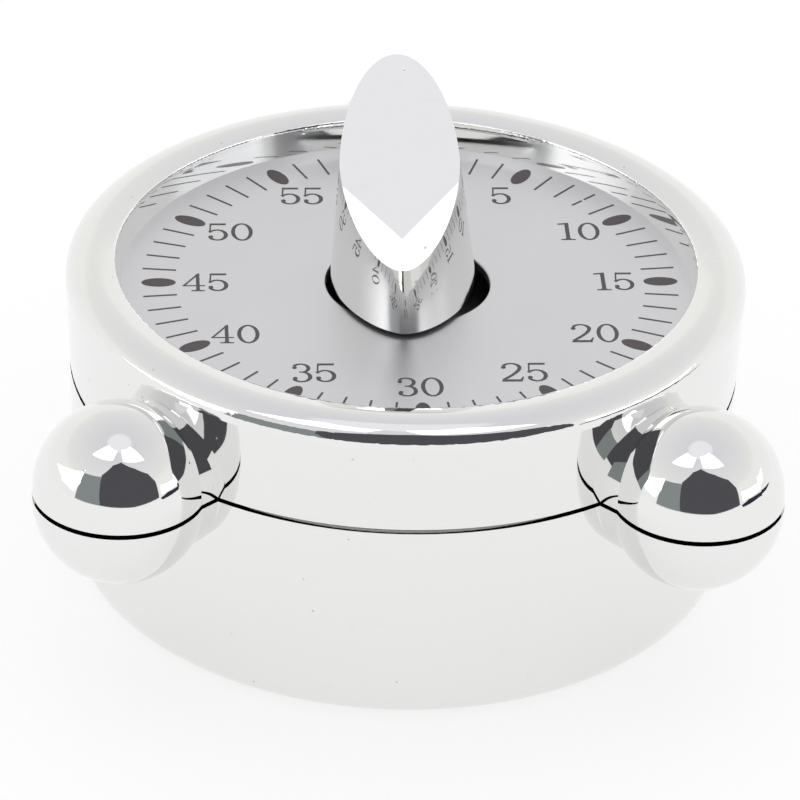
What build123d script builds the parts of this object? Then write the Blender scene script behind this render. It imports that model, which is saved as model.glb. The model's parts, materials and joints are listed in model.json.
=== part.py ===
from build123d import *
import os
from math import atan2, cos, degrees, pi, radians, sin, sqrt, tan

os.makedirs("parts", exist_ok=True)

# Mechanical sixty-minute timer. The origin is the middle of the flat base, on the knob's axis.
# +Z is up, -Y points at the 30-minute mark (the front) and +Y at the rear ball.
# All sizes are in millimetres.

# Case
base_radius = 41.1
wall_radius = 41.4
rim_radius = 41.9
wall = 1.8
floor = 2.0
base_fillet = 3.9
seam_z = 27.35
seam_gap = 0.6
rim_widest_z = 38.8
rim_top_z = 41.7
dial_z = 37.7
bezel_mouth_radius = 35.65
bezel_foot_radius = 35.06
inside_radius = wall_radius - wall
upper_edge_z = seam_z + seam_gap / 2
lower_edge_z = seam_z - seam_gap / 2
spigot_wall = 1.0
spigot_height = 2.0
spigot_clearance = 0.25
spigot_radius = inside_radius - spigot_clearance

# Balls on the seam: two at the front and one at the back
front_ball_spread = 46.35
ball_angles = (90, 270 - front_ball_spread, 270 + front_ball_spread)
ball_centre_radius = 47.7
ball_radius = 10.4
ball_radius_lower = 10.45
ball_band = 0.45
ball_wall = 1.6
neck_radius = 9.3
neck_wall = 1.5
screw_boss_radius = 3.2
case_screw_radius = 1.25
case_screw_head_radius = 2.4
case_screw_head_z = 20.6
case_screw_top_z = 33.5

# Dial plate
dial_radius = 38.6
dial_thickness = 1.0
dial_hole_radius = 10.1
dial_hole_shift = 0.27
dial_hole_rounding = 0.3
dial_screw_ring = 37.3
dial_screw_radius = 0.8
dial_screw_angles = (20, 140, 260)

# Knob: a tapered column with a beak at the front, cut off by one slanted face and two bevels
knob_gap = 0.5
knob_half_width = 9.00
knob_back_length = 15.39
knob_front_length = 13.64
knob_side_taper = 0.10
knob_back_taper = 0.11
knob_front_taper = 0.135
knob_front_power = 1.65
knob_back_power = 1.99
knob_offset = -0.36
knob_lean = -2.83
knob_height = 27.5
knob_face_front = (-12.46, 9.25)
knob_face_back = (11.2, 24.04)
knob_bevel_width = 7.3
knob_bevel_start = -2.6
knob_bevel_end = -9.3
knob_bevel_tilt = 9.0
knob_wall = 2.0
knob_boss_radius = 4.6
knob_boss_height = 13.0
knob_bush_radius = 3.4
knob_bush_length = 11.5
knob_trim = 1.0
section_points = 48

# Movement plates, stacked inside the case
rear_plate_z = 14.0
front_plate_z = 31.0
plate_thickness = 1.2
rear_plate_top = rear_plate_z + plate_thickness
front_plate_top = front_plate_z + plate_thickness
rear_plate_radius = 35.0
front_plate_radius = 33.0
mount_ring = 32.5
mount_angles = (30, 150, 270)
mount_post_radius = 2.6
pillar_ring = 30.0
pillar_angles = (90, 210, 330)
pillar_radius = 2.0
pillar_stud_radius = 1.0
running_fit = 0.06

# Going train: teeth and module of each mesh, and the levels of the wheels
great_teeth, second_teeth, third_teeth, leaves = 72, 56, 48, 8
great_module, second_module, third_module = 0.5, 0.4, 0.3
great_z, great_thickness = 24.4, 1.2
second_z, third_z, train_thickness = 27.4, 20.0, 1.0
escape_teeth, escape_radius, escape_z = 24, 4.6, 22.4
thin_wheel = 0.8
arbor_ring = 22.0

# Alarm work
barrel_teeth, strike_leaves, barrel_module = 60, 10, 0.6
barrel_z, barrel_gear_thickness = 16.4, 1.2
barrel_cup_radius = 13.5
barrel_cup_top = 22.4
strike_teeth, strike_radius, strike_z, strike_thickness = 12, 6.5, 19.0, 1.2
hammer_centre = (0.0, -24.0)
hammer_reach = 9.0
hammer_head_radius = 2.0
bell_inner_radius = 28.15
bell_thickness = 1.1
bell_rim_z = 12.6
bell_floor_z = 4.4
lever_centre = (20.0, -9.0)
cam_radius = 7.5
cam_z = 27.6
great_collar_z = 26.6
clip_z = 30.0


def polar(radius, angle):
    return (radius * cos(radians(angle)), radius * sin(radians(angle)))


def meshing_distance(teeth, module):
    return module * (teeth + leaves) / 2


def next_angle(ring_a, angle_a, ring_b, distance):
    """Angle on ring_b of a centre that lies a given distance clockwise of one on ring_a."""
    cosine = (ring_a**2 + ring_b**2 - distance**2) / (2 * ring_a * ring_b)
    return angle_a - degrees(atan2(sqrt(1 - cosine**2), cosine))


def bearing(start, end):
    return degrees(atan2(end[1] - start[1], end[0] - start[0]))


second_ring = meshing_distance(great_teeth, great_module)
second_angle = 150.0
third_angle = next_angle(
    second_ring, second_angle, arbor_ring, meshing_distance(second_teeth, second_module)
)
escape_angle = next_angle(arbor_ring, third_angle, arbor_ring, meshing_distance(third_teeth, third_module))
fork_angle = next_angle(arbor_ring, escape_angle, arbor_ring, 7.2)
balance_angle = next_angle(arbor_ring, fork_angle, arbor_ring, 8.5)
second_centre = polar(second_ring, second_angle)
third_centre = polar(arbor_ring, third_angle)
escape_centre = polar(arbor_ring, escape_angle)
fork_centre = polar(arbor_ring, fork_angle)
balance_centre = polar(arbor_ring, balance_angle)
strike_ring = barrel_module * (barrel_teeth + strike_leaves) / 2
strike_centre = polar(strike_ring, -60)


def tooth_outline(teeth, module, first_tooth):
    """Closed outline of a wheel with straight-sided teeth, one tooth centred on first_tooth degrees."""
    pitch_radius = module * teeth / 2
    tip_radius = pitch_radius + 0.8 * module
    root_radius = pitch_radius - 1.1 * module
    pitch = 360 / teeth
    points = []
    for tooth in range(teeth):
        middle = first_tooth + tooth * pitch
        points.append(polar(root_radius, middle - 0.31 * pitch))
        points.append(polar(tip_radius, middle - 0.10 * pitch))
        points.append(polar(tip_radius, middle + 0.10 * pitch))
        points.append(polar(root_radius, middle + 0.31 * pitch))
    return points


def ratchet_outline(teeth, tip_radius, root_radius):
    """Closed outline of a wheel with leaning, pointed teeth."""
    pitch = 360 / teeth
    points = []
    for tooth in range(teeth):
        points.append(polar(root_radius, tooth * pitch))
        points.append(polar(tip_radius, tooth * pitch + 0.10 * pitch))
        points.append(polar(tip_radius, tooth * pitch + 0.25 * pitch))
        points.append(polar(root_radius, tooth * pitch + 0.75 * pitch))
    return points


def spiral_outline(inner_radius, outer_radius, turns, strip):
    """Closed outline of a flat spiral strip, as two lists of points: its outer and inner side."""
    steps = 10 * turns
    sides = []
    for side in (strip / 2, -strip / 2):
        points = []
        for step in range(steps + 1):
            radius = inner_radius + (outer_radius - inner_radius) * step / steps + side
            points.append(polar(radius, 36 * step))
        sides.append(points)
    return sides


def save(builder, name):
    builder.part.label = name
    export_step(builder.part, f"parts/{name}.step")


def toothed_wheel(name, centre, z, thickness, outline, bore, windows_radius=0.0):
    """A flat wheel on a bored hub, with four round windows if it is large enough for them."""
    with BuildPart() as wheel:
        with BuildSketch(Plane(origin=(*centre, z))):
            with BuildLine():
                Polyline(outline, close=True)
            make_face()
            Circle(bore, mode=Mode.SUBTRACT)
            if windows_radius:
                with PolarLocations(windows_radius, 4, start_angle=45):
                    Circle(windows_radius * 0.36, mode=Mode.SUBTRACT)
        extrude(amount=thickness)
    save(wheel, name)


def pinion_arbor(name, centre, radius, pivot, pinion, pinion_z):
    """A steel arbor between the plates, with a pivot at each end and a pinion cut in one piece."""
    with BuildPart() as arbor:
        with BuildSketch(Plane.XY.offset(rear_plate_top + 0.15)):
            with Locations(centre):
                Circle(radius)
        extrude(amount=front_plate_z - rear_plate_top - 0.3)
        with BuildSketch(Plane.XY.offset(rear_plate_z + 0.05)):
            with Locations(centre):
                Circle(pivot)
        extrude(amount=front_plate_top - rear_plate_z - 0.1)
        if pinion:
            with BuildSketch(Plane(origin=(*centre, pinion_z[0]))):
                with BuildLine():
                    Polyline(pinion, close=True)
                make_face()
            extrude(amount=pinion_z[1] - pinion_z[0])
    save(arbor, name)


# ---------------------------------------------------------------- case


def draw_cup(radius, bottom, rounding, top, top_radius):
    """Half section of a round cup with a rounded bottom edge."""
    turn = rounding * (1 - cos(radians(45)))
    Line((0, bottom), (radius - rounding, bottom))
    ThreePointArc(
        (radius - rounding, bottom),
        (radius - turn, bottom + turn),
        (radius, bottom + rounding),
    )
    Line((radius, bottom + rounding), (top_radius, top))
    Line((top_radius, top), (0, top))
    Line((0, top), (0, bottom))


def ball_lobe(angle, edge_z, side, ball, neck):
    """Half a ball and half its neck, above (side 1) or below (side -1) the seam, at one of the angles."""
    turn = ball * cos(radians(45))
    pole = edge_z + side * (ball_band + ball)
    with BuildPart() as lobe:
        with BuildSketch(Plane.XZ):
            with BuildLine():
                Line((ball_centre_radius, edge_z), (ball_centre_radius + ball, edge_z))
                Line(
                    (ball_centre_radius + ball, edge_z),
                    (ball_centre_radius + ball, edge_z + side * ball_band),
                )
                ThreePointArc(
                    (ball_centre_radius + ball, edge_z + side * ball_band),
                    (ball_centre_radius + turn, edge_z + side * (ball_band + turn)),
                    (ball_centre_radius, pole),
                )
                Line((ball_centre_radius, pole), (ball_centre_radius, edge_z))
            make_face()
        revolve(axis=Axis((ball_centre_radius, 0, 0), (0, 0, 1)))
        with BuildSketch(Plane(origin=(neck_start, 0, edge_z), x_dir=(0, 1, 0), z_dir=(1, 0, 0))):
            Circle(neck)
            with Locations((0, -side * neck)):
                Rectangle(2 * neck, 2 * neck, mode=Mode.SUBTRACT)
        extrude(amount=ball_centre_radius - neck_start)
    return lobe.part.rotate(Axis.Z, angle)


neck_start = inside_radius - 2.0
ball_places = [polar(ball_centre_radius, angle) for angle in ball_angles]
mount_places = [polar(mount_ring, angle) for angle in mount_angles]
upper_lobes = [ball_lobe(angle, upper_edge_z, 1, ball_radius, neck_radius) for angle in ball_angles]
lower_lobes = [ball_lobe(angle, lower_edge_z, -1, ball_radius_lower, neck_radius) for angle in ball_angles]
upper_hollows = [
    ball_lobe(angle, upper_edge_z, 1, ball_radius - ball_wall, neck_radius - neck_wall)
    for angle in ball_angles
]
lower_hollows = [
    ball_lobe(angle, lower_edge_z, -1, ball_radius_lower - ball_wall, neck_radius - neck_wall)
    for angle in ball_angles
]

with BuildPart() as upper_case:
    with BuildSketch(Plane.XZ):
        with BuildLine():
            Line((0, upper_edge_z), (wall_radius, upper_edge_z))
            Line((wall_radius, upper_edge_z), (rim_radius, rim_widest_z))
            Spline(
                (rim_radius, rim_widest_z),
                (rim_radius - 1.0, rim_top_z - 0.85),
                (rim_radius - 3.7, rim_top_z),
                (bezel_mouth_radius + 0.45, rim_top_z - 0.45),
                (bezel_mouth_radius, rim_top_z - 1.4),
                tangents=[(0, 1), (-0.1, -1)],
            )
            Line((bezel_mouth_radius, rim_top_z - 1.4), (bezel_foot_radius, dial_z))
            Line((bezel_foot_radius, dial_z), (0, dial_z))
            Line((0, dial_z), (0, upper_edge_z))
        make_face()
    revolve(axis=Axis.Z)
    add(upper_lobes)
    with BuildSketch(Plane.XY.offset(upper_edge_z)):
        Circle(inside_radius)
    extrude(amount=dial_z - upper_edge_z, mode=Mode.SUBTRACT)
    add(upper_hollows, mode=Mode.SUBTRACT)
    with BuildSketch(Plane.XY.offset(upper_edge_z)):
        with Locations(ball_places):
            Circle(screw_boss_radius)
            Circle(case_screw_radius, mode=Mode.SUBTRACT)
    extrude(amount=ball_radius - ball_wall / 2)
    with BuildSketch(Plane.XY.offset(dial_z)):
        for angle in dial_screw_angles:
            with Locations(polar(dial_screw_ring, angle)):
                Circle(dial_screw_radius)
    extrude(amount=2.4, mode=Mode.SUBTRACT)
save(upper_case, "upper_case")

with BuildPart() as lower_case:
    with BuildSketch(Plane.XZ):
        with BuildLine():
            draw_cup(base_radius, 0, base_fillet, lower_edge_z, wall_radius)
        make_face()
    revolve(axis=Axis.Z)
    add(lower_lobes)
    with BuildSketch(Plane.XZ):
        with BuildLine():
            draw_cup(inside_radius - 0.3, floor, base_fillet, lower_edge_z, inside_radius)
        make_face()
    revolve(axis=Axis.Z, mode=Mode.SUBTRACT)
    add(lower_hollows, mode=Mode.SUBTRACT)
    with BuildSketch(Plane.XY.offset(lower_edge_z)):
        with Locations(ball_places):
            Circle(screw_boss_radius)
    extrude(amount=-(ball_radius_lower - ball_wall / 2))
    with BuildSketch(Plane.XY.offset(lower_edge_z)):
        with Locations(ball_places):
            Circle(case_screw_radius + 0.15)
    extrude(amount=-2 * ball_radius_lower, mode=Mode.SUBTRACT)
    with BuildSketch(Plane.XY.offset(case_screw_head_z)):
        with Locations(ball_places):
            Circle(case_screw_head_radius + 0.15)
    extrude(amount=-2 * ball_radius_lower, mode=Mode.SUBTRACT)
    with BuildSketch(Plane.XY.offset(floor - 0.5)):
        with Locations(mount_places):
            Circle(mount_post_radius)
    extrude(amount=rear_plate_z - floor + 0.5)
    with BuildSketch(Plane.XY.offset(rear_plate_z)):
        with Locations(mount_places):
            Circle(1.0)
    extrude(amount=-7.0, mode=Mode.SUBTRACT)
    with BuildSketch(Plane.XY.offset(lower_edge_z - spigot_height)):
        Circle(inside_radius + 0.2)
        Circle(spigot_radius - spigot_wall, mode=Mode.SUBTRACT)
    extrude(amount=spigot_height)
    with BuildSketch(Plane.XY.offset(lower_edge_z)):
        Circle(spigot_radius)
        Circle(spigot_radius - spigot_wall, mode=Mode.SUBTRACT)
    extrude(amount=seam_gap + spigot_height)
save(lower_case, "lower_case")


def screws(name, places, shank_radius, shank_z, head_radius, head_z):
    """A group of equal screws: each has a shank, a head with a rounded edge and a slot in its far face."""
    with BuildPart() as group:
        with BuildSketch(Plane.XY.offset(shank_z[0])):
            with Locations(places):
                Circle(shank_radius)
        extrude(amount=shank_z[1] - shank_z[0])
        with BuildSketch(Plane.XY.offset(head_z[0])):
            with Locations(places):
                Circle(head_radius)
        extrude(amount=head_z[1] - head_z[0])
        outer_face = head_z[1] if head_z[0] >= shank_z[1] - 0.01 else head_z[0]
        inward = -0.6 if outer_face == head_z[1] else 0.6
        with BuildSketch(Plane.XY.offset(outer_face)):
            with Locations(places):
                Rectangle(2 * head_radius, 0.5)
        extrude(amount=inward, mode=Mode.SUBTRACT)
    save(group, name)


screws(
    "case_screws",
    [polar(ball_centre_radius, angle) for angle in ball_angles],
    case_screw_radius - 0.02,
    (case_screw_head_z, case_screw_top_z),
    case_screw_head_radius,
    (case_screw_head_z - 1.8, case_screw_head_z),
)

with BuildPart() as dial_plate:
    with BuildSketch(Plane.XY.offset(dial_z - dial_thickness)):
        Circle(dial_radius)
        with Locations((dial_hole_shift, 0)):
            Circle(dial_hole_radius, mode=Mode.SUBTRACT)
        for angle in dial_screw_angles:
            with Locations(polar(dial_screw_ring, angle)):
                Circle(dial_screw_radius + 0.1, mode=Mode.SUBTRACT)
    extrude(amount=dial_thickness)
    top_edges = dial_plate.faces().sort_by(Axis.Z)[-1].edges()
    hole_edge = top_edges.filter_by(lambda edge: abs(edge.radius - dial_hole_radius) < 0.01)
    fillet(hole_edge, dial_hole_rounding)
save(dial_plate, "dial_plate")

screws(
    "dial_screws",
    [polar(dial_screw_ring, angle) for angle in dial_screw_angles],
    dial_screw_radius - 0.02,
    (dial_z - dial_thickness, dial_z + 2.2),
    1.7,
    (dial_z - dial_thickness - 1.0, dial_z - dial_thickness),
)

# ---------------------------------------------------------------- knob


def knob_section(height, shrink):
    """Points around the column at a height above its foot, drawn in by shrink all round."""
    half_width = knob_half_width - knob_side_taper * height - shrink
    back = knob_back_length - knob_back_taper * height - shrink
    front = knob_front_length - knob_front_taper * height - shrink
    points = []
    for step in range(section_points):
        angle = 2 * pi * step / section_points
        length, power = (back, knob_back_power) if sin(angle) > 0 else (front, knob_front_power)
        across = abs(cos(angle) / half_width) ** power
        along = abs(sin(angle) / length) ** power
        radius = (across + along) ** (-1 / power)
        points.append((radius * cos(angle), radius * sin(angle)))
    return points


knob_foot_z = dial_z + knob_gap
face_slope = degrees(
    atan2(knob_face_back[1] - knob_face_front[1], knob_face_back[0] - knob_face_front[0])
)
face_origin = Vector(0, knob_face_front[0], dial_z + knob_face_front[1])
face_plane = Plane(
    origin=face_origin,
    x_dir=(1, 0, 0),
    z_dir=(0, -sin(radians(face_slope)), cos(radians(face_slope))),
)


def on_face(x, y):
    rise = (y - face_origin.Y) * tan(radians(face_slope))
    return Vector(x, y, face_origin.Z + rise)


def bevel_plane(side):
    """Plane through one arm of the V on the slanted face, tipped down towards the column's side."""
    arm_start = on_face(side * knob_bevel_width, knob_bevel_start)
    arm_end = on_face(0, knob_bevel_end)
    arm = (arm_end - arm_start).normalized()
    normal = face_plane.z_dir.rotate(Axis((0, 0, 0), arm), -side * knob_bevel_tilt)
    return Plane(origin=arm_start, x_dir=arm, z_dir=normal)


def column(shrink, top_drop):
    """The column as a solid, cut by the slanted face and the two bevels, then leant and set aside."""
    with BuildPart() as body:
        for height in (-knob_trim, knob_height):
            with BuildSketch(Plane.XY.offset(knob_foot_z + height)):
                with BuildLine():
                    Spline(knob_section(height, shrink), periodic=True)
                make_face()
        loft(ruled=True)
        split(bisect_by=face_plane.offset(-top_drop), keep=Keep.BOTTOM)
        split(bisect_by=bevel_plane(1).offset(-top_drop), keep=Keep.BOTTOM)
        split(bisect_by=bevel_plane(-1).offset(-top_drop), keep=Keep.BOTTOM)
    leant = body.part.rotate(Axis((0, 0, knob_foot_z), (0, 1, 0)), knob_lean)
    return leant.translate((knob_offset, 0, 0))


knob_outside = column(0.0, 0.0)
knob_hollow = column(knob_wall, knob_wall)

with BuildPart() as knob:
    add(knob_outside)
    split(bisect_by=Plane.XY.offset(knob_foot_z), keep=Keep.TOP)
    add(knob_hollow, mode=Mode.SUBTRACT)
    with BuildSketch(Plane.XY.offset(knob_foot_z)):
        Circle(knob_boss_radius)
    extrude(amount=knob_boss_height)
    with BuildSketch(Plane.XY.offset(knob_foot_z)):
        Circle(knob_bush_radius)
    extrude(amount=knob_bush_length, mode=Mode.SUBTRACT)
save(knob, "knob")

arbor_radius = 2.2
with BuildPart() as knob_bush:
    with BuildSketch(Plane.XY.offset(knob_foot_z)):
        Circle(knob_bush_radius)
        Circle(arbor_radius, mode=Mode.SUBTRACT)
    extrude(amount=knob_bush_length)
save(knob_bush, "knob_bush")

with BuildPart() as main_arbor:
    for z, top, radius in (
        (rear_plate_z + 0.1, rear_plate_top + 0.3, 1.5),
        (rear_plate_top + 0.1, great_z, 2.5),
        (great_z - 0.8, great_z, 3.5),
        (great_z, knob_foot_z + 11.3, arbor_radius),
    ):
        with BuildSketch(Plane.XY.offset(z)):
            Circle(radius)
        extrude(amount=top - z)
save(main_arbor, "main_arbor")

toothed_wheel(
    "great_wheel",
    (0, 0),
    great_z,
    great_thickness,
    tooth_outline(great_teeth, great_module, second_angle),
    arbor_radius,
    10.5,
)

with BuildPart() as clutch_washer:
    with BuildSketch(Plane.XZ):
        with BuildLine():
            Polyline((arbor_radius, 26.1), (5.2, 25.6), (5.2, 26.0), (arbor_radius, 26.5), close=True)
        make_face()
    revolve(axis=Axis.Z)
save(clutch_washer, "clutch_washer")

with BuildPart() as release_cam:
    with BuildSketch(Plane.XY.offset(great_collar_z)):
        Circle(3.6)
    extrude(amount=cam_z - great_collar_z)
    with BuildSketch(Plane.XY.offset(cam_z)):
        Circle(cam_radius)
        with Locations((0, cam_radius)):
            Rectangle(2.4, 3.2, mode=Mode.SUBTRACT)
    extrude(amount=1.4)
    with BuildSketch(Plane.XY.offset(great_collar_z)):
        Circle(arbor_radius)
    extrude(amount=4.0, mode=Mode.SUBTRACT)
save(release_cam, "release_cam")

with BuildPart() as arbor_clip:
    with BuildSketch(Plane.XY.offset(clip_z)):
        Circle(3.6)
        Circle(arbor_radius, mode=Mode.SUBTRACT)
        with Locations((0, -3.0)):
            Rectangle(2.0, 3.2, mode=Mode.SUBTRACT)
    extrude(amount=0.6)
save(arbor_clip, "arbor_clip")

# ---------------------------------------------------------------- plates

bearings = (
    (second_centre, 0.6),
    (third_centre, 0.5),
    (escape_centre, 0.4),
    (fork_centre, 0.4),
    (strike_centre, 0.6),
)


def plate(name, z, radius, arbor_hole, hammer_hole, mounts):
    with BuildPart() as sheet:
        with BuildSketch(Plane.XY.offset(z)):
            Circle(radius)
            Circle(arbor_hole, mode=Mode.SUBTRACT)
            for centre, pivot in bearings:
                with Locations(centre):
                    Circle(pivot + running_fit, mode=Mode.SUBTRACT)
            with Locations(hammer_centre):
                Circle(hammer_hole, mode=Mode.SUBTRACT)
            with Locations(lever_centre):
                Circle(0.9, mode=Mode.SUBTRACT)
            with Locations(balance_centre):
                Circle(1.5, mode=Mode.SUBTRACT)
            for angle in pillar_angles:
                with Locations(polar(pillar_ring, angle)):
                    Circle(pillar_stud_radius, mode=Mode.SUBTRACT)
            if mounts:
                for angle in mount_angles:
                    with Locations(polar(mount_ring, angle)):
                        Circle(1.15, mode=Mode.SUBTRACT)
        extrude(amount=plate_thickness)
    save(sheet, name)


plate("rear_plate", rear_plate_z, rear_plate_radius, 1.5 + running_fit, 1.0 + running_fit, True)
plate("front_plate", front_plate_z, front_plate_radius, arbor_radius + running_fit, 0.6 + running_fit, False)

pillar_places = [polar(pillar_ring, angle) for angle in pillar_angles]
with BuildPart() as plate_pillars:
    with BuildSketch(Plane.XY.offset(rear_plate_top)):
        with Locations(pillar_places):
            Circle(pillar_radius)
    extrude(amount=front_plate_z - rear_plate_top)
    with BuildSketch(Plane.XY.offset(rear_plate_z)):
        with Locations(pillar_places):
            Circle(pillar_stud_radius)
    extrude(amount=front_plate_top + 1.6 - rear_plate_z)
save(plate_pillars, "plate_pillars")

with BuildPart() as pillar_nuts:
    with BuildSketch(Plane.XY.offset(front_plate_top)):
        with Locations(pillar_places):
            RegularPolygon(2.2, 6)
            Circle(pillar_stud_radius, mode=Mode.SUBTRACT)
    extrude(amount=1.4)
save(pillar_nuts, "pillar_nuts")

screws(
    "movement_screws",
    [polar(mount_ring, angle) for angle in mount_angles],
    0.98,
    (rear_plate_z - 6.0, rear_plate_top),
    1.9,
    (rear_plate_top, rear_plate_top + 1.3),
)

# ---------------------------------------------------------------- going train

toothed_wheel(
    "second_wheel",
    second_centre,
    second_z,
    train_thickness,
    tooth_outline(second_teeth, second_module, bearing(second_centre, third_centre)),
    1.1,
    6.3,
)
toothed_wheel(
    "third_wheel",
    third_centre,
    third_z,
    thin_wheel,
    tooth_outline(third_teeth, third_module, bearing(third_centre, escape_centre)),
    0.8,
    4.0,
)
toothed_wheel(
    "escape_wheel",
    escape_centre,
    escape_z,
    thin_wheel,
    ratchet_outline(escape_teeth, escape_radius, escape_radius - 0.9),
    0.6,
    2.3,
)


def pinion_outline(driver_centre, centre, count, module):
    """Pinion outline with a gap facing the wheel that drives it."""
    return tooth_outline(count, module, bearing(centre, driver_centre) + 180 / count)


pinion_arbor(
    "second_arbor",
    second_centre,
    1.1,
    0.6,
    pinion_outline((0, 0), second_centre, leaves, great_module),
    (great_z - 0.5, great_z + great_thickness + 0.5),
)
pinion_arbor(
    "third_arbor",
    third_centre,
    0.8,
    0.5,
    pinion_outline(second_centre, third_centre, leaves, second_module),
    (second_z - 0.4, second_z + train_thickness + 0.4),
)
pinion_arbor(
    "escape_arbor",
    escape_centre,
    0.6,
    0.4,
    pinion_outline(third_centre, escape_centre, leaves, third_module),
    (third_z - 0.4, third_z + thin_wheel + 0.4),
)
pinion_arbor("pallet_arbor", fork_centre, 0.6, 0.4, None, None)

# ---------------------------------------------------------------- escapement

pallet_spread = 26.0
pallet_circle = escape_radius + 0.85
to_escape = bearing(fork_centre, escape_centre)
to_balance = bearing(fork_centre, balance_centre)
pallet_places = [
    (
        escape_centre[0] + pallet_circle * cos(radians(to_escape + 180 + turn)),
        escape_centre[1] + pallet_circle * sin(radians(to_escape + 180 + turn)),
    )
    for turn in (-pallet_spread, pallet_spread)
]
lever_tip = (
    fork_centre[0] + 6.0 * cos(radians(to_balance)),
    fork_centre[1] + 6.0 * sin(radians(to_balance)),
)
lever_z = escape_z + thin_wheel + 0.3


def bar_profile(start, end, width):
    """Place, overall length and width of a round-ended arm between two points."""
    middle = ((start[0] + end[0]) / 2, (start[1] + end[1]) / 2)
    length = sqrt((end[0] - start[0]) ** 2 + (end[1] - start[1]) ** 2)
    return Location((*middle, 0), (0, 0, bearing(start, end))), length + width, width


with BuildPart() as pallet_lever:
    with BuildSketch(Plane.XY.offset(lever_z)):
        with Locations(fork_centre):
            Circle(1.4)
        for end in (*pallet_places, lever_tip):
            place, length, width = bar_profile(fork_centre, end, 0.9)
            with Locations(place):
                SlotOverall(length, width)
        with Locations(fork_centre):
            Circle(0.6, mode=Mode.SUBTRACT)
    extrude(amount=0.6)
save(pallet_lever, "pallet_lever")

with BuildPart() as pallet_pins:
    with BuildSketch(Plane.XY.offset(escape_z - 0.3)):
        with Locations(pallet_places):
            Circle(0.25)
    extrude(amount=lever_z - escape_z + 0.3)
save(pallet_pins, "pallet_pins")

staff_bottom, staff_top, staff_radius = 16.0, 30.2, 0.7
roller_z = 24.1
with BuildPart() as balance_staff:
    with BuildSketch(Plane.XY.offset(staff_bottom)):
        with Locations(balance_centre):
            Circle(staff_radius)
    extrude(amount=staff_top - staff_bottom)
    with BuildSketch(Plane.XY.offset(staff_bottom - 0.5)):
        with Locations(balance_centre):
            Circle(0.3)
    extrude(amount=staff_top - staff_bottom + 1.0)
    with BuildSketch(Plane.XY.offset(roller_z)):
        with Locations(balance_centre):
            Circle(2.1)
    extrude(amount=0.6)
save(balance_staff, "balance_staff")

impulse_place = (
    balance_centre[0] - 1.6 * cos(radians(to_balance)),
    balance_centre[1] - 1.6 * sin(radians(to_balance)),
)
with BuildPart() as impulse_pin:
    with BuildSketch(Plane.XY.offset(lever_z - 0.6)):
        with Locations(impulse_place):
            Circle(0.3)
    extrude(amount=roller_z - lever_z + 0.6)
save(impulse_pin, "impulse_pin")

balance_radius, balance_z = 7.3, 27.2
hairspring_z = 29.2
with BuildPart() as balance_wheel:
    with BuildSketch(Plane.XY.offset(balance_z)):
        with Locations(balance_centre):
            Circle(balance_radius)
            Circle(balance_radius - 1.3, mode=Mode.SUBTRACT)
    extrude(amount=1.4)
    with BuildSketch(Plane.XY.offset(balance_z)):
        with Locations(balance_centre):
            Rectangle(2 * balance_radius - 1.0, 1.6)
            Circle(1.8)
            Circle(staff_radius, mode=Mode.SUBTRACT)
    extrude(amount=0.8)
save(balance_wheel, "balance_wheel")

with BuildPart() as hairspring:
    with BuildSketch(Plane(origin=(*balance_centre, hairspring_z))):
        outer_side, inner_side = spiral_outline(1.5, 4.9, 6, 0.14)
        with BuildLine():
            Spline(outer_side)
            Spline(inner_side)
            Line(outer_side[0], inner_side[0])
            Line(outer_side[-1], inner_side[-1])
        make_face()
    extrude(amount=0.4)
save(hairspring, "hairspring")

with BuildPart() as hairspring_collet:
    with BuildSketch(Plane.XY.offset(hairspring_z - 0.1)):
        with Locations(balance_centre):
            Circle(1.43)
            Circle(staff_radius, mode=Mode.SUBTRACT)
    extrude(amount=0.6)
save(hairspring_collet, "hairspring_collet")

with BuildPart() as hairspring_stud:
    with BuildSketch(Plane.XY.offset(hairspring_z - 0.2)):
        with Locations((balance_centre[0] + 5.8, balance_centre[1])):
            Rectangle(1.2, 1.2)
    extrude(amount=front_plate_z - hairspring_z + 0.2)
save(hairspring_stud, "hairspring_stud")

with BuildPart() as balance_screws:
    for z, top, cup in (
        (rear_plate_z - 1.0, staff_bottom - 0.1, staff_bottom - 0.7),
        (staff_top + 0.1, front_plate_top + 1.0, staff_top + 0.1),
    ):
        with BuildSketch(Plane.XY.offset(z)):
            with Locations(balance_centre):
                Circle(1.48)
        extrude(amount=top - z)
        with BuildSketch(Plane.XY.offset(cup)):
            with Locations(balance_centre):
                Circle(0.3 + running_fit)
        extrude(amount=0.6, mode=Mode.SUBTRACT)
save(balance_screws, "balance_screws")

# ---------------------------------------------------------------- alarm work

barrel_floor_z = 18.4
with BuildPart() as barrel:
    with BuildSketch(Plane.XY.offset(barrel_z)):
        with BuildLine():
            Polyline(tooth_outline(barrel_teeth, barrel_module, -60.0), close=True)
        make_face()
    extrude(amount=barrel_gear_thickness)
    with BuildSketch(Plane.XY.offset(barrel_z)):
        Circle(barrel_cup_radius)
        Circle(barrel_cup_radius - 1.0, mode=Mode.SUBTRACT)
        Circle(3.4)
    extrude(amount=barrel_cup_top - barrel_z)
    with BuildSketch(Plane.XY.offset(barrel_floor_z)):
        Circle(barrel_cup_radius - 1.0)
    extrude(amount=barrel_cup_top - barrel_floor_z, mode=Mode.SUBTRACT)
    with BuildSketch(Plane.XY.offset(barrel_z)):
        Circle(2.5 + running_fit)
    extrude(amount=8.0, mode=Mode.SUBTRACT)
save(barrel, "barrel")

with BuildPart() as barrel_cover:
    with BuildSketch(Plane.XY.offset(barrel_cup_top)):
        Circle(barrel_cup_radius)
        Circle(2.5 + running_fit, mode=Mode.SUBTRACT)
    extrude(amount=0.6)
save(barrel_cover, "barrel_cover")

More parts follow.
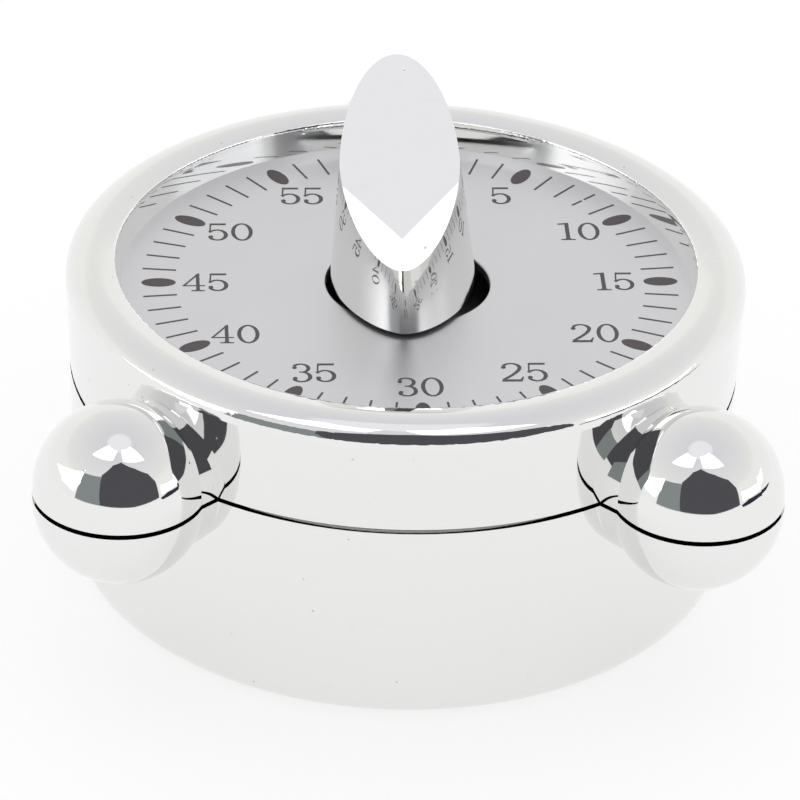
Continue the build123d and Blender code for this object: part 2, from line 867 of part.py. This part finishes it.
with BuildPart() as mainspring:
    with BuildSketch(Plane.XY.offset(barrel_floor_z + 0.2)):
        outer_side, inner_side = spiral_outline(3.0, 12.2, 9, 0.4)
        with BuildLine():
            Spline(outer_side)
            Spline(inner_side)
            Line(outer_side[0], inner_side[0])
            Line(outer_side[-1], inner_side[-1])
        make_face()
    extrude(amount=3.4)
save(mainspring, "mainspring")

toothed_wheel(
    "strike_wheel",
    strike_centre,
    strike_z,
    strike_thickness,
    ratchet_outline(strike_teeth, strike_radius, strike_radius - 1.6),
    1.0,
)
pinion_arbor(
    "strike_arbor",
    strike_centre,
    1.0,
    0.6,
    pinion_outline((0, 0), strike_centre, strike_leaves, barrel_module),
    (barrel_z - 0.3, barrel_z + barrel_gear_thickness + 0.3),
)

strike_pallet_circle = strike_radius + 0.85
strike_pallet_angles = (187.0, 231.0)
strike_pallets = [
    (
        strike_centre[0] + strike_pallet_circle * cos(radians(turn)),
        strike_centre[1] + strike_pallet_circle * sin(radians(turn)),
    )
    for turn in strike_pallet_angles
]
with BuildPart() as hammer_anchor:
    with BuildSketch(Plane.XY.offset(strike_z)):
        with Locations(hammer_centre):
            Circle(1.9)
        for end in strike_pallets:
            place, length, width = bar_profile(hammer_centre, end, 1.0)
            with Locations(place):
                SlotOverall(length, width)
        with Locations(hammer_centre):
            Circle(1.0, mode=Mode.SUBTRACT)
    extrude(amount=strike_thickness)
save(hammer_anchor, "hammer_anchor")

hammer_arm_z, hammer_arm_thickness = 10.8, 1.0
hammer_foot_z = 10.4
with BuildPart() as hammer_arbor:
    with BuildSketch(Plane.XY.offset(hammer_foot_z)):
        with Locations(hammer_centre):
            Circle(1.0)
    extrude(amount=front_plate_z - 0.2 - hammer_foot_z)
    with BuildSketch(Plane.XY.offset(front_plate_z - 0.5)):
        with Locations(hammer_centre):
            Circle(0.6)
    extrude(amount=plate_thickness + 0.4)
save(hammer_arbor, "hammer_arbor")

hammer_head_place = (hammer_centre[0] + hammer_reach, hammer_centre[1])
with BuildPart() as hammer_arm:
    with BuildSketch(Plane.XY.offset(hammer_arm_z)):
        place, length, width = bar_profile(hammer_centre, hammer_head_place, 2.4)
        with Locations(place):
            SlotOverall(length, width)
        with Locations(hammer_centre):
            Circle(1.9)
        with Locations(hammer_centre):
            Circle(1.0, mode=Mode.SUBTRACT)
        with Locations(hammer_head_place):
            Circle(0.8, mode=Mode.SUBTRACT)
    extrude(amount=1.0)
save(hammer_arm, "hammer_arm")

hammer_head_height = 2.2
with BuildPart() as hammer_head:
    with BuildSketch(Plane.XY.offset(hammer_arm_z - hammer_head_height)):
        with Locations(hammer_head_place):
            Circle(hammer_head_radius)
    extrude(amount=hammer_head_height)
    with BuildSketch(Plane.XY.offset(hammer_arm_z)):
        with Locations(hammer_head_place):
            Circle(0.8)
    extrude(amount=1.0)
save(hammer_head, "hammer_head")

bell_corner = 4.0
with BuildPart() as bell:
    with BuildSketch(Plane.XZ):
        outside = bell_inner_radius + bell_thickness
        with BuildLine():
            draw_cup(outside, bell_floor_z, bell_corner, bell_rim_z, outside)
        make_face()
        with BuildLine():
            draw_cup(
                bell_inner_radius,
                bell_floor_z + bell_thickness,
                bell_corner - bell_thickness,
                bell_rim_z,
                bell_inner_radius,
            )
        make_face(mode=Mode.SUBTRACT)
    revolve(axis=Axis.Z)
    with BuildSketch(Plane.XY.offset(bell_floor_z)):
        Circle(2.02)
    extrude(amount=bell_thickness, mode=Mode.SUBTRACT)
save(bell, "bell")

with BuildPart() as bell_post:
    for z, top, radius in (
        (2.6, rear_plate_z, 2.0),
        (bell_floor_z + bell_thickness, rear_plate_z, 3.2),
        (rear_plate_z - 1.2, rear_plate_z, 5.5),
    ):
        with BuildSketch(Plane.XY.offset(z)):
            Circle(radius)
        extrude(amount=top - z)
save(bell_post, "bell_post")

with BuildPart() as bell_nut:
    with BuildSketch(Plane.XY.offset(2.5)):
        RegularPolygon(3.9, 6)
        Circle(2.02, mode=Mode.SUBTRACT)
    extrude(amount=bell_floor_z - 2.5)
save(bell_nut, "bell_nut")

with BuildPart() as lever_post:
    for z, top, radius in (
        (rear_plate_z, rear_plate_z + 3.0, 0.9),
        (rear_plate_top, 30.6, 1.2),
        (rear_plate_top, 20.2, 1.9),
        (30.0, front_plate_top, 0.9),
    ):
        with BuildSketch(Plane.XY.offset(z)):
            with Locations(lever_centre):
                Circle(radius)
        extrude(amount=top - z)
save(lever_post, "lever_post")

stop_circle = strike_radius + 1.25
stop_angle = 165.0
lever_foot_z = 20.5
stop_place = (
    strike_centre[0] + stop_circle * cos(radians(stop_angle)),
    strike_centre[1] + stop_circle * sin(radians(stop_angle)),
)
nose_place = (0.0, lever_centre[1] - 0.9)
nose_corners = ((-0.9, nose_place[1]), (0.9, nose_place[1]), (0.3, -8.3), (-0.3, -8.3))
with BuildPart() as release_lever:
    with BuildSketch(Plane.XY.offset(lever_foot_z)):
        with Locations(lever_centre):
            Circle(2.4)
    extrude(amount=cam_z + 1.2 - lever_foot_z)
    with BuildSketch(Plane.XY.offset(cam_z)):
        place, length, width = bar_profile((lever_centre[0], nose_place[1]), nose_place, 1.6)
        with Locations(place):
            SlotOverall(length, width)
        with BuildLine():
            Polyline(*nose_corners, close=True)
        make_face()
    extrude(amount=1.2)
    with BuildSketch(Plane.XY.offset(20.8)):
        place, length, width = bar_profile(lever_centre, stop_place, 1.6)
        with Locations(place):
            SlotOverall(length, width)
    extrude(amount=1.0)
    with BuildSketch(Plane.XY.offset(strike_z)):
        with Locations(stop_place):
            Circle(0.5)
    extrude(amount=2.0)
    with BuildSketch(Plane.XY.offset(lever_foot_z)):
        with Locations(lever_centre):
            Circle(1.2 + running_fit)
    extrude(amount=10.0, mode=Mode.SUBTRACT)
save(release_lever, "release_lever")
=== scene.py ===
import json
import math

import bmesh
import bpy
from mathutils import Matrix, Vector
from mathutils.geometry import delaunay_2d_cdt


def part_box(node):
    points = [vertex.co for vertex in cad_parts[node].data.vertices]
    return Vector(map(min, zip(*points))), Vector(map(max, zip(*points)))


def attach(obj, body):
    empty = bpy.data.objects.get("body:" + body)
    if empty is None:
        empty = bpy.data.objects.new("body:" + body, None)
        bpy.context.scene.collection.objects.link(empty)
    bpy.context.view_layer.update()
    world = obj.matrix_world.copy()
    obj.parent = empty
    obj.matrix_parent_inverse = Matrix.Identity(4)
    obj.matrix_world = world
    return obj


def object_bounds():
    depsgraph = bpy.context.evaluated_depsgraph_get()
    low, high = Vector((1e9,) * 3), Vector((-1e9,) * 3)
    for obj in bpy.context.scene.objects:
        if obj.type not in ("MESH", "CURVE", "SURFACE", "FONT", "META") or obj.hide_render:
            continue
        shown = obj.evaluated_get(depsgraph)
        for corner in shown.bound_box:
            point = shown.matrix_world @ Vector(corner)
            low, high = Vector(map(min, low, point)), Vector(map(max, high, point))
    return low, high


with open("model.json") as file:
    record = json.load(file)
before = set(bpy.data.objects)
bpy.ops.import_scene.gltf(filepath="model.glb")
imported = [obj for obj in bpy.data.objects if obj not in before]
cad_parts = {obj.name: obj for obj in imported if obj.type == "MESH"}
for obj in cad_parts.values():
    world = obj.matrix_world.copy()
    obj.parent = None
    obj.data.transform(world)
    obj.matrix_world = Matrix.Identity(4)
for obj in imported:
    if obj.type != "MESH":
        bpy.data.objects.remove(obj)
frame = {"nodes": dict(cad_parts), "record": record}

MM = 0.001
cad_low, cad_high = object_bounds()
dial_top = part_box("dial_plate")[1].z


# ---------------------------------------------------------------- helpers

def polar(radius, degrees):
    """A point in the plane, at an angle counted from +X towards +Y."""
    turn = math.radians(degrees)
    return Vector((radius * math.cos(turn), radius * math.sin(turn)))


def direction(azimuth, elevation):
    """Unit vector from the object. Azimuth 0 is the front, -Y, and 90 is +X."""
    a, e = math.radians(azimuth), math.radians(elevation)
    return Vector((math.sin(a) * math.cos(e), -math.cos(a) * math.cos(e), math.sin(e)))


def link(name, mesh):
    obj = bpy.data.objects.new(name, mesh)
    bpy.context.scene.collection.objects.link(obj)
    return obj


# ---------------------------------------------------------------- materials

class Shader:
    """A Principled material that is built up node by node."""

    def __init__(self, name, colour, metallic=1.0, roughness=0.3):
        self.mat = bpy.data.materials.new(name)
        self.mat.use_nodes = True
        self.nodes = self.mat.node_tree.nodes
        self.links = self.mat.node_tree.links
        self.bsdf = self.nodes["Principled BSDF"]
        self.bsdf.inputs["Metallic"].default_value = metallic
        self.bsdf.inputs["Roughness"].default_value = roughness
        self.bsdf.inputs["Base Color"].default_value = (*colour, 1.0)
        self.colour = colour
        self.place = self.nodes.new("ShaderNodeTexCoord").outputs["Object"]
        self.bump_to = None

    def add(self, kind, **values):
        node = self.nodes.new(kind)
        for key, value in values.items():
            if key in node.inputs:
                node.inputs[key].default_value = value
            else:
                setattr(node, key, value)
        return node

    def join(self, a, b):
        self.links.new(a, b)

    def noise(self, scale, detail=4.0, stretch=(1, 1, 1), distortion=0.0):
        """Noise over the object, with scale in features a metre."""
        mapping = self.add("ShaderNodeMapping")
        mapping.inputs["Scale"].default_value = stretch
        self.join(self.place, mapping.inputs["Vector"])
        node = self.add("ShaderNodeTexNoise", Scale=scale, Detail=detail, Distortion=distortion)
        self.join(mapping.outputs["Vector"], node.inputs["Vector"])
        return node.outputs["Fac"]

    def spots(self, scale, size, seed_shift=(0, 0, 0)):
        """Small round marks, 1 inside a mark and 0 outside it."""
        mapping = self.add("ShaderNodeMapping")
        mapping.inputs["Location"].default_value = seed_shift
        self.join(self.place, mapping.inputs["Vector"])
        cells = self.add("ShaderNodeTexVoronoi", Scale=scale, Randomness=1.0)
        self.join(mapping.outputs["Vector"], cells.inputs["Vector"])
        return self.ramp(cells.outputs["Distance"], size, size * 0.45, 0.0, 1.0)

    def ramp(self, value, start, end, low, high):
        node = self.add("ShaderNodeMapRange", clamp=True)
        self.join(value, node.inputs["Value"])
        for key, number in (("From Min", start), ("From Max", end), ("To Min", low), ("To Max", high)):
            node.inputs[key].default_value = number
        return node.outputs["Result"]

    def math(self, operation, a, b):
        node = self.add("ShaderNodeMath", operation=operation)
        for slot, value in zip(node.inputs, (a, b)):
            if isinstance(value, (int, float)):
                slot.default_value = value
            else:
                self.join(value, slot)
        return node.outputs["Value"]

    def mix(self, factor, other):
        """Mixes another colour over the base colour, by factor."""
        node = self.add("ShaderNodeMix", data_type="RGBA")
        self.join(factor, node.inputs["Factor"])
        base = self.bsdf.inputs["Base Color"]
        if base.is_linked:
            self.join(base.links[0].from_socket, node.inputs["A"])
        else:
            node.inputs["A"].default_value = (*self.colour, 1.0)
        node.inputs["B"].default_value = (*other, 1.0)
        self.join(node.outputs["Result"], base)
        return self

    def rough(self, value):
        self.join(value, self.bsdf.inputs["Roughness"])
        return self

    def bump(self, height, distance, strength=1.0):
        """Adds a bump whose height is the 0 to 1 value times distance, in metres."""
        node = self.add("ShaderNodeBump", Strength=strength, Distance=distance)
        self.join(height, node.inputs["Height"])
        if self.bump_to is not None:
            self.join(self.bump_to, node.inputs["Normal"])
        self.bump_to = node.outputs["Normal"]
        self.join(self.bump_to, self.bsdf.inputs["Normal"])
        return self


def chrome():
    s = Shader("chrome_plate", (0.83, 0.83, 0.82), 1.0, 0.03)
    haze = s.noise(90.0, 5.0)
    pits = s.spots(230.0, 0.045)
    specks = s.spots(90.0, 0.018, (0.013, 0.027, 0.041))
    smudge = s.ramp(s.noise(260.0, 6.0, distortion=0.6), 0.66, 0.78, 0.0, 0.35)
    marks = s.math("MAXIMUM", pits, specks)
    s.mix(s.math("MULTIPLY", marks, 0.55), (0.32, 0.32, 0.31))
    s.mix(s.math("MULTIPLY", smudge, 0.25), (0.62, 0.61, 0.585))
    s.rough(s.math("ADD", s.ramp(haze, 0.35, 0.75, 0.022, 0.055), s.math("MULTIPLY", marks, 0.3)))
    s.bump(marks, -0.02 * MM)
    return s.mat


def satin_dial():
    s = Shader("satin_dial", (0.70, 0.70, 0.715), 1.0, 0.36)
    grain = s.noise(5200.0, 3.0)
    cloud = s.noise(120.0, 4.0)
    specks = s.spots(130.0, 0.035, (0.004, 0.011, 0.0))
    s.mix(s.ramp(cloud, 0.3, 0.7, 0.0, 0.5), (0.675, 0.67, 0.69))
    s.mix(s.math("MULTIPLY", specks, 0.45), (0.35, 0.34, 0.35))
    s.rough(s.ramp(grain, 0.25, 0.75, 0.31, 0.42))
    s.bump(grain, 0.006 * MM)
    return s.mat


def ink():
    s = Shader("dial_ink", (0.078, 0.066, 0.070), 0.0, 0.42)
    s.bsdf.inputs["Specular IOR Level"].default_value = 0.35
    fade = s.noise(900.0, 5.0)
    s.mix(s.ramp(fade, 0.45, 0.75, 0.0, 0.7), (0.105, 0.085, 0.080))
    worn = s.spots(420.0, 0.05, (0.001, 0.002, 0.0))
    s.mix(s.math("MULTIPLY", worn, 0.6), (0.32, 0.30, 0.31))
    s.rough(s.ramp(fade, 0.3, 0.7, 0.36, 0.5))
    s.bump(fade, 0.004 * MM)
    return s.mat


def metal(name, colour, tint, roughness, grain=3000.0, stretch=(1, 1, 1), depth=0.004):
    """A machined or rolled metal with grain, a little tarnish and a few marks."""
    s = Shader(name, colour, 1.0, roughness)
    lines = s.noise(grain, 4.0, stretch)
    cloud = s.noise(260.0, 5.0)
    marks = s.spots(700.0, 0.06)
    s.mix(s.ramp(cloud, 0.4, 0.75, 0.0, 0.8), tint)
    s.mix(s.math("MULTIPLY", marks, 0.5), tuple(c * 0.45 for c in tint))
    s.rough(s.ramp(lines, 0.25, 0.75, roughness * 0.8, roughness * 1.35))
    s.bump(lines, depth * MM)
    return s.mat


def oxide():
    s = Shader("black_oxide", (0.035, 0.036, 0.040), 0.75, 0.38)
    grain = s.noise(2600.0, 4.0)
    wear = s.noise(900.0, 6.0)
    s.mix(s.ramp(wear, 0.6, 0.8, 0.0, 0.5), (0.12, 0.12, 0.125))
    s.rough(s.ramp(grain, 0.3, 0.7, 0.32, 0.48))
    s.bump(grain, 0.004 * MM)
    return s.mat


FINISHES = {
    "chrome_shell": chrome(),
    "satin_dial": satin_dial(),
    "brass": metal("brass", (0.72, 0.53, 0.26), (0.58, 0.41, 0.18), 0.24, 2400.0, (1, 6, 1)),
    "steel": metal("steel", (0.60, 0.60, 0.61), (0.50, 0.49, 0.48), 0.22, 4200.0, (1, 1, 0.2)),
    "zinc_plate": metal("zinc_plate", (0.62, 0.63, 0.66), (0.52, 0.53, 0.52), 0.34, 1800.0, (5, 1, 1), 0.006),
    "bell_steel": metal("bell_steel", (0.68, 0.68, 0.69), (0.56, 0.56, 0.57), 0.16, 1500.0, (1, 1, 8)),
    "spring_steel": metal("spring_steel", (0.30, 0.33, 0.42), (0.36, 0.33, 0.34), 0.26, 5200.0, (1, 1, 0.1)),
    "black_oxide": oxide(),
}
for part in frame["record"]["subparts"]:
    node = frame["nodes"][part["node"]]
    node.data.materials.clear()
    node.data.materials.append(FINISHES[part["material_slot"]])


# ---------------------------------------------------------------- dial print

R0 = 31.0 * MM               # the circle that the five-minute ovals sit on
PRINT_TURN = 1.7             # the print sits a little turned on the plate, in degrees
PRINT_SHIFT = Vector((0.55 * MM, 0.0))
INK_THICKNESS = 0.03 * MM
TICK_FROM, TICK_TO = 0.934 * R0, 1.068 * R0
TICK_WIDTH = 0.0075 * R0 * 1.15
OVAL_LONG, OVAL_WIDE = 0.136 * R0, 0.065 * R0
WORN_TICK = 8                # this tick has a gap where the ink is worn through
NUMERAL_CIRCLE = 25.25 * MM
NUMERAL_HEIGHT = 4.30 * MM
THIN, THICK = 0.052, 0.118   # stroke widths over the height
CURVE_STEPS = 28


def on_print(point):
    """From print coordinates to the plate's."""
    turn = math.radians(PRINT_TURN)
    x = point[0] * math.cos(turn) - point[1] * math.sin(turn)
    y = point[0] * math.sin(turn) + point[1] * math.cos(turn)
    return Vector((x, y)) + PRINT_SHIFT


def dial_angle(minute):
    """Angle of a minute from +X. 60 is at the rear, and the minutes run clockwise."""
    return 90.0 - 6.0 * minute


def arc(centre, rx, ry, start, end, steps=CURVE_STEPS):
    return [
        (
            centre[0] + rx * math.cos(math.radians(start + (end - start) * i / steps)),
            centre[1] + ry * math.sin(math.radians(start + (end - start) * i / steps)),
        )
        for i in range(steps + 1)
    ]


def stroke(path, thin=THIN, thick=THICK, taper=(1.0, 1.0)):
    """Quads along a path. It is thin where it runs level and thick where it runs upright."""
    count = len(path)
    left, right = [], []
    for i, point in enumerate(path):
        before, after = path[max(i - 1, 0)], path[min(i + 1, count - 1)]
        along = Vector((after[0] - before[0], after[1] - before[1])).normalized()
        width = thin + (thick - thin) * abs(along.y) ** 2.2
        share = i / (count - 1)
        width *= taper[0] + (taper[1] - taper[0]) * share
        side = Vector((-along.y, along.x)) * width / 2
        left.append(Vector(point) + side)
        right.append(Vector(point) - side)
    return [[left[i], right[i], right[i + 1], left[i + 1]] for i in range(count - 1)]


def block(*corners):
    return [[Vector(c) for c in corners]]


def dot(x, y, r):
    return [[Vector((x, y)) + polar(r, 360.0 * i / 20) for i in range(20)]]


def glyph_0():
    ring = []
    for i in range(56):
        quad = []
        for k, inner in ((i, 0), (i, 1), (i + 1, 1), (i + 1, 0)):
            turn = 2 * math.pi * k / 56
            rx_here, ry_here = (0.200, 0.452) if inner else (0.315, 0.505)
            quad.append(Vector((0.315 + rx_here * math.cos(turn), 0.5 + ry_here * math.sin(turn))))
        ring.append(quad)
    return ring


def glyph_1():
    return (
        block((0.195, 0.04), (0.315, 0.04), (0.315, 1.0), (0.275, 1.0), (0.195, 0.93))
        + block((0.0, 0.955), (0.0, 0.905), (0.215, 0.925), (0.285, 1.0))
        + block((0.045, 0.0), (0.47, 0.0), (0.47, 0.042), (0.045, 0.042))
        + block((0.14, 0.042), (0.37, 0.042), (0.315, 0.085), (0.195, 0.085))
    )


def glyph_2():
    path = arc((0.30, 0.735), 0.24, 0.24, 150, 0, 20) + [
        (0.505, 0.62), (0.43, 0.49), (0.30, 0.33), (0.16, 0.19), (0.055, 0.09)
    ]
    return (
        stroke(path, 0.05, 0.115)
        + dot(0.085, 0.765, 0.070)
        + block((0.0, 0.0), (0.575, 0.0), (0.60, 0.10), (0.03, 0.10))
        + block((0.50, 0.05), (0.575, 0.0), (0.635, 0.24), (0.595, 0.245))
    )


def glyph_3():
    top = arc((0.24, 0.755), 0.215, 0.222, 148, -72, 26)
    low = arc((0.245, 0.285), 0.245, 0.262, 78, -150, 30)
    return (
        stroke(top, 0.05, 0.110)
        + stroke(low, 0.05, 0.118)
        + block((0.19, 0.525), (0.32, 0.515), (0.32, 0.565), (0.19, 0.562))
        + dot(0.068, 0.785, 0.066)
        + dot(0.072, 0.205, 0.068)
    )


def glyph_4():
    return (
        block((0.388, 0.03), (0.492, 0.03), (0.492, 1.0), (0.45, 1.0), (0.388, 0.95))
        + block((0.0, 0.305), (0.065, 0.305), (0.47, 0.955), (0.44, 1.0))
        + block((0.0, 0.288), (0.64, 0.288), (0.64, 0.328), (0.0, 0.328))
        + block((0.25, 0.0), (0.635, 0.0), (0.635, 0.040), (0.25, 0.040))
        + block((0.34, 0.040), (0.54, 0.040), (0.492, 0.080), (0.388, 0.080))
    )


def glyph_5():
    bowl = [(0.055, 0.500), (0.075, 0.555)] + arc((0.265, 0.325), 0.250, 0.295, 128, -148, 34)
    return (
        block((0.055, 0.915), (0.525, 0.915), (0.535, 1.0), (0.055, 1.0))
        + block((0.030, 0.475), (0.078, 0.475), (0.103, 0.95), (0.055, 0.95))
        + stroke(bowl, 0.05, 0.118)
        + dot(0.075, 0.220, 0.070)
    )


def glyph_6():
    spine = arc((0.385, 0.42), 0.33, 0.555, 78, 180, 24)
    bowl = arc((0.31, 0.305), 0.258, 0.280, 0, 360, 44)
    return stroke(spine, 0.05, 0.112) + stroke(bowl, 0.05, 0.112) + dot(0.50, 0.905, 0.064)


GLYPHS = {
    "0": (glyph_0, 0.63),
    "1": (glyph_1, 0.47),
    "2": (glyph_2, 0.635),
    "3": (glyph_3, 0.55),
    "4": (glyph_4, 0.64),
    "5": (glyph_5, 0.575),
    "6": (glyph_6, 0.62),
}
GLYPH_GAP = 0.095


def printed(name, polygons):
    """One closed flat layer of ink from overlapping polygons on the plate."""
    points, faces = [], []
    for polygon in polygons:
        area = sum(a.x * b.y - a.y * b.x for a, b in zip(polygon, polygon[1:] + polygon[:1]))
        corners = polygon if area > 0 else polygon[::-1]
        faces.append(list(range(len(points), len(points) + len(corners))))
        points += corners
    verts, _, tris, _, _, origins = delaunay_2d_cdt([p / MM for p in points], [], faces, 1, 1e-4)
    bm = bmesh.new()
    top = [bm.verts.new((v[0] * MM, v[1] * MM, dial_top + INK_THICKNESS)) for v in verts]
    for tri, origin in zip(tris, origins):
        if origin:
            bm.faces.new([top[i] for i in tri])
    loose = [v for v in bm.verts if not v.link_faces]
    bmesh.ops.delete(bm, geom=loose, context="VERTS")
    bmesh.ops.dissolve_limit(bm, angle_limit=0.01, verts=bm.verts[:], edges=bm.edges[:])
    bmesh.ops.recalc_face_normals(bm, faces=bm.faces[:])
    if bm.faces[:][0].normal.z < 0:
        bmesh.ops.reverse_faces(bm, faces=bm.faces[:])
    made = bmesh.ops.extrude_face_region(bm, geom=bm.faces[:] + bm.edges[:] + bm.verts[:])
    lowered = [g for g in made["geom"] if isinstance(g, bmesh.types.BMVert)]
    bmesh.ops.translate(bm, verts=lowered, vec=(0, 0, -INK_THICKNESS))
    bmesh.ops.recalc_face_normals(bm, faces=bm.faces[:])
    mesh = bpy.data.meshes.new(name)
    bm.to_mesh(mesh)
    bm.free()
    obj = link(name, mesh)
    mesh.materials.append(INK)
    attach(obj, "case")
    return obj


def tick(minute, start, end):
    turn = math.radians(dial_angle(minute))
    along = Vector((math.cos(turn), math.sin(turn)))
    side = Vector((-along.y, along.x)) * TICK_WIDTH / 2
    return [
        on_print(p)
        for p in (along * start - side, along * end - side, along * end + side, along * start + side)
    ]


def oval(minute):
    turn = math.radians(dial_angle(minute))
    along = Vector((math.cos(turn), math.sin(turn)))
    side = Vector((-along.y, along.x))
    points = []
    for i in range(40):
        t = 2 * math.pi * i / 40
        points.append(
            on_print(
                along * (R0 + OVAL_LONG / 2 * math.cos(t)) + side * OVAL_WIDE / 2 * math.sin(t)
            )
        )
    return points


def numeral(minute):
    text = str(minute)
    width = sum(GLYPHS[c][1] for c in text) + GLYPH_GAP * (len(text) - 1)
    centre = polar(NUMERAL_CIRCLE, dial_angle(minute))
    polygons, x = [], -width / 2
    for c in text:
        make, advance = GLYPHS[c]
        for polygon in make():
            polygons.append(
                [on_print(centre + Vector((x + p.x, p.y - 0.5)) * NUMERAL_HEIGHT) for p in polygon]
            )
        x += advance + GLYPH_GAP
    return polygons


INK = ink()
ticks = []
for minute in range(1, 61):
    if minute % 5 == 0:
        continue
    if minute == WORN_TICK:
        ticks.append(tick(minute, TICK_FROM, 0.990 * R0))
        ticks.append(tick(minute, 1.004 * R0, TICK_TO))
    else:
        ticks.append(tick(minute, TICK_FROM, TICK_TO))
printed("minute_ticks", ticks)
printed("five_minute_ovals", [oval(m) for m in range(5, 61, 5)])
for minute in range(5, 61, 5):
    printed(f"numeral_{minute}", numeral(minute))


# ---------------------------------------------------------------- studio

CAMERA_AZIMUTH, CAMERA_ELEVATION, CAMERA_ROLL = -2.0, 30.98, 1.71
CAMERA_DISTANCE = 677.5 * MM
LOOK_AT = Vector((-1.25 * MM, -28.33 * MM, dial_top))
LENS = 256.04
FLOOR_SIZE = 12.0
CARD_DISTANCE = 1.2
CARD_CENTRE = Vector((0, 0, 30 * MM))
CARD_EDGE_STEPS = 8
FLOOR_GAP = 0.02 * MM

back = direction(CAMERA_AZIMUTH, CAMERA_ELEVATION)
right = (-back).cross(Vector((0, 0, 1))).normalized()
up = right.cross(-back)
roll = math.radians(CAMERA_ROLL)
right_rolled = right * math.cos(roll) + up * math.sin(roll)
up_rolled = up * math.cos(roll) - right * math.sin(roll)
camera_data = bpy.data.cameras.new("camera")
camera_data.sensor_width = 36.0
camera_data.lens = LENS
camera_data.clip_start, camera_data.clip_end = 0.01, 50.0
camera = link("camera", camera_data)
camera.matrix_world = Matrix.Translation(LOOK_AT + back * CAMERA_DISTANCE) @ Matrix(
    (right_rolled, up_rolled, back)
).transposed().to_4x4()
bpy.context.scene.camera = camera


def emission(name, colour, strength=1.0):
    mat = bpy.data.materials.new(name)
    mat.use_nodes = True
    nodes, links = mat.node_tree.nodes, mat.node_tree.links
    nodes.remove(nodes["Principled BSDF"])
    glow = nodes.new("ShaderNodeEmission")
    glow.inputs["Color"].default_value = (*colour, 1.0)
    glow.inputs["Strength"].default_value = strength
    links.new(glow.outputs["Emission"], nodes["Material Output"].inputs["Surface"])
    return mat


def card(name, corners, colour, distance=CARD_DISTANCE):
    """A card that only reflections see. Its corners are (azimuth, elevation) round the object."""
    points = []
    for (a0, e0), (a1, e1) in zip(corners, corners[1:] + corners[:1]):
        for i in range(CARD_EDGE_STEPS):
            t = i / CARD_EDGE_STEPS
            points.append(CARD_CENTRE + direction(a0 + (a1 - a0) * t, e0 + (e1 - e0) * t) * distance)
    middle = sum(points, Vector()) / len(points)
    mesh = bpy.data.meshes.new(name)
    count = len(points)
    mesh.from_pydata(
        [*points, middle], [], [(i, (i + 1) % count, count) for i in range(count)]
    )
    obj = link(name, mesh)
    mesh.materials.append(emission(name, colour))
    obj.visible_camera = False
    obj.visible_diffuse = False
    obj.visible_shadow = False
    return obj


# floor
floor_mesh = bpy.data.meshes.new("floor")
half = FLOOR_SIZE / 2
floor_mesh.from_pydata(
    [(-half, -half, 0), (half, -half, 0), (half, half, 0), (-half, half, 0)], [], [(0, 1, 2, 3)]
)
floor = link("floor", floor_mesh)
floor.location.z = cad_low.z - FLOOR_GAP
floor_mat = bpy.data.materials.new("floor")
floor_mat.use_nodes = True
floor_bsdf = floor_mat.node_tree.nodes["Principled BSDF"]
floor_bsdf.inputs["Base Color"].default_value = (0.45, 0.45, 0.45, 1.0)
floor_bsdf.inputs["Roughness"].default_value = 0.8
floor_bsdf.inputs["Specular IOR Level"].default_value = 0.0
floor_bsdf.inputs["Emission Color"].default_value = (1.0, 1.0, 1.0, 1.0)
floor_bsdf.inputs["Emission Strength"].default_value = 0.62
floor_mesh.materials.append(floor_mat)

# a soft light surround, by height: white at the horizon, greyer above, and bright straight overhead
world = bpy.data.worlds.new("studio")
bpy.context.scene.world = world
world.use_nodes = True
wn, wl = world.node_tree.nodes, world.node_tree.links
w_place = wn.new("ShaderNodeTexCoord")
w_parts = wn.new("ShaderNodeSeparateXYZ")
w_ramp = wn.new("ShaderNodeValToRGB")
wl.new(w_place.outputs["Generated"], w_parts.inputs["Vector"])
wl.new(w_parts.outputs["Z"], w_ramp.inputs["Fac"])
stops = w_ramp.color_ramp.elements
stops[0].position, stops[0].color = 0.0, (1.0, 1.0, 1.0, 1.0)
stops[1].position, stops[1].color = 1.0, (0.96, 0.955, 1.0, 1.0)
SKY = (
    (0.42, (0.97, 0.97, 0.95, 1.0)),
    (0.50, (0.90, 0.90, 0.89, 1.0)),
    (0.965, (0.78, 0.775, 0.82, 1.0)),
    (0.978, (0.96, 0.955, 1.0, 1.0)),
)
for position, value in SKY:
    stop = stops.new(position)
    stop.color = value
wl.new(w_ramp.outputs["Color"], wn["Background"].inputs["Color"])
wn["Background"].inputs["Strength"].default_value = 1.0

# what the chrome mirrors from the room on the camera's side
card("card_dark", [(-25, 3), (-31, 40), (-16, 56), (2, 61), (30, 50), (48, 38), (54, 25), (52, 5), (18, 2)],
     (0.085, 0.085, 0.095))
card("card_room", [(-58, 2), (-58, 33), (-31, 38), (-23, 3)], (0.26, 0.29, 0.29), 1.21)
card("card_door", [(-54, 8), (-54, 24), (-42, 25), (-42, 8)], (0.045, 0.020, 0.012), 1.20)
card("card_lamp_left", [(-62, 8), (-57, 20), (-60, 34), (-103, 13), (-86, 10)], (2.2, 2.2, 2.2), 1.20)
card("card_lamp_right", [(57, 8), (58, 18), (66, 16), (88, 12), (105, 15), (97, 8), (86, 6)],
     (2.2, 2.25, 2.3), 1.20)
card("card_strip", [(54, 4), (66, 6), (86, 3), (102, 0), (118, -6), (100, -3), (80, 0), (56, 1)],
     (0.03, 0.03, 0.05), 1.19)
# soft boxes high at the front sides, which the knob's bevels mirror
card("card_box_left", [(-72, 54), (-72, 76), (-16, 76), (-20, 62)], (1.7, 1.7, 1.7), 1.18)
card("card_box_right", [(8, 62), (2, 78), (62, 78), (58, 54)], (1.7, 1.7, 1.7), 1.18)

bpy.context.scene.view_settings.view_transform = "Standard"
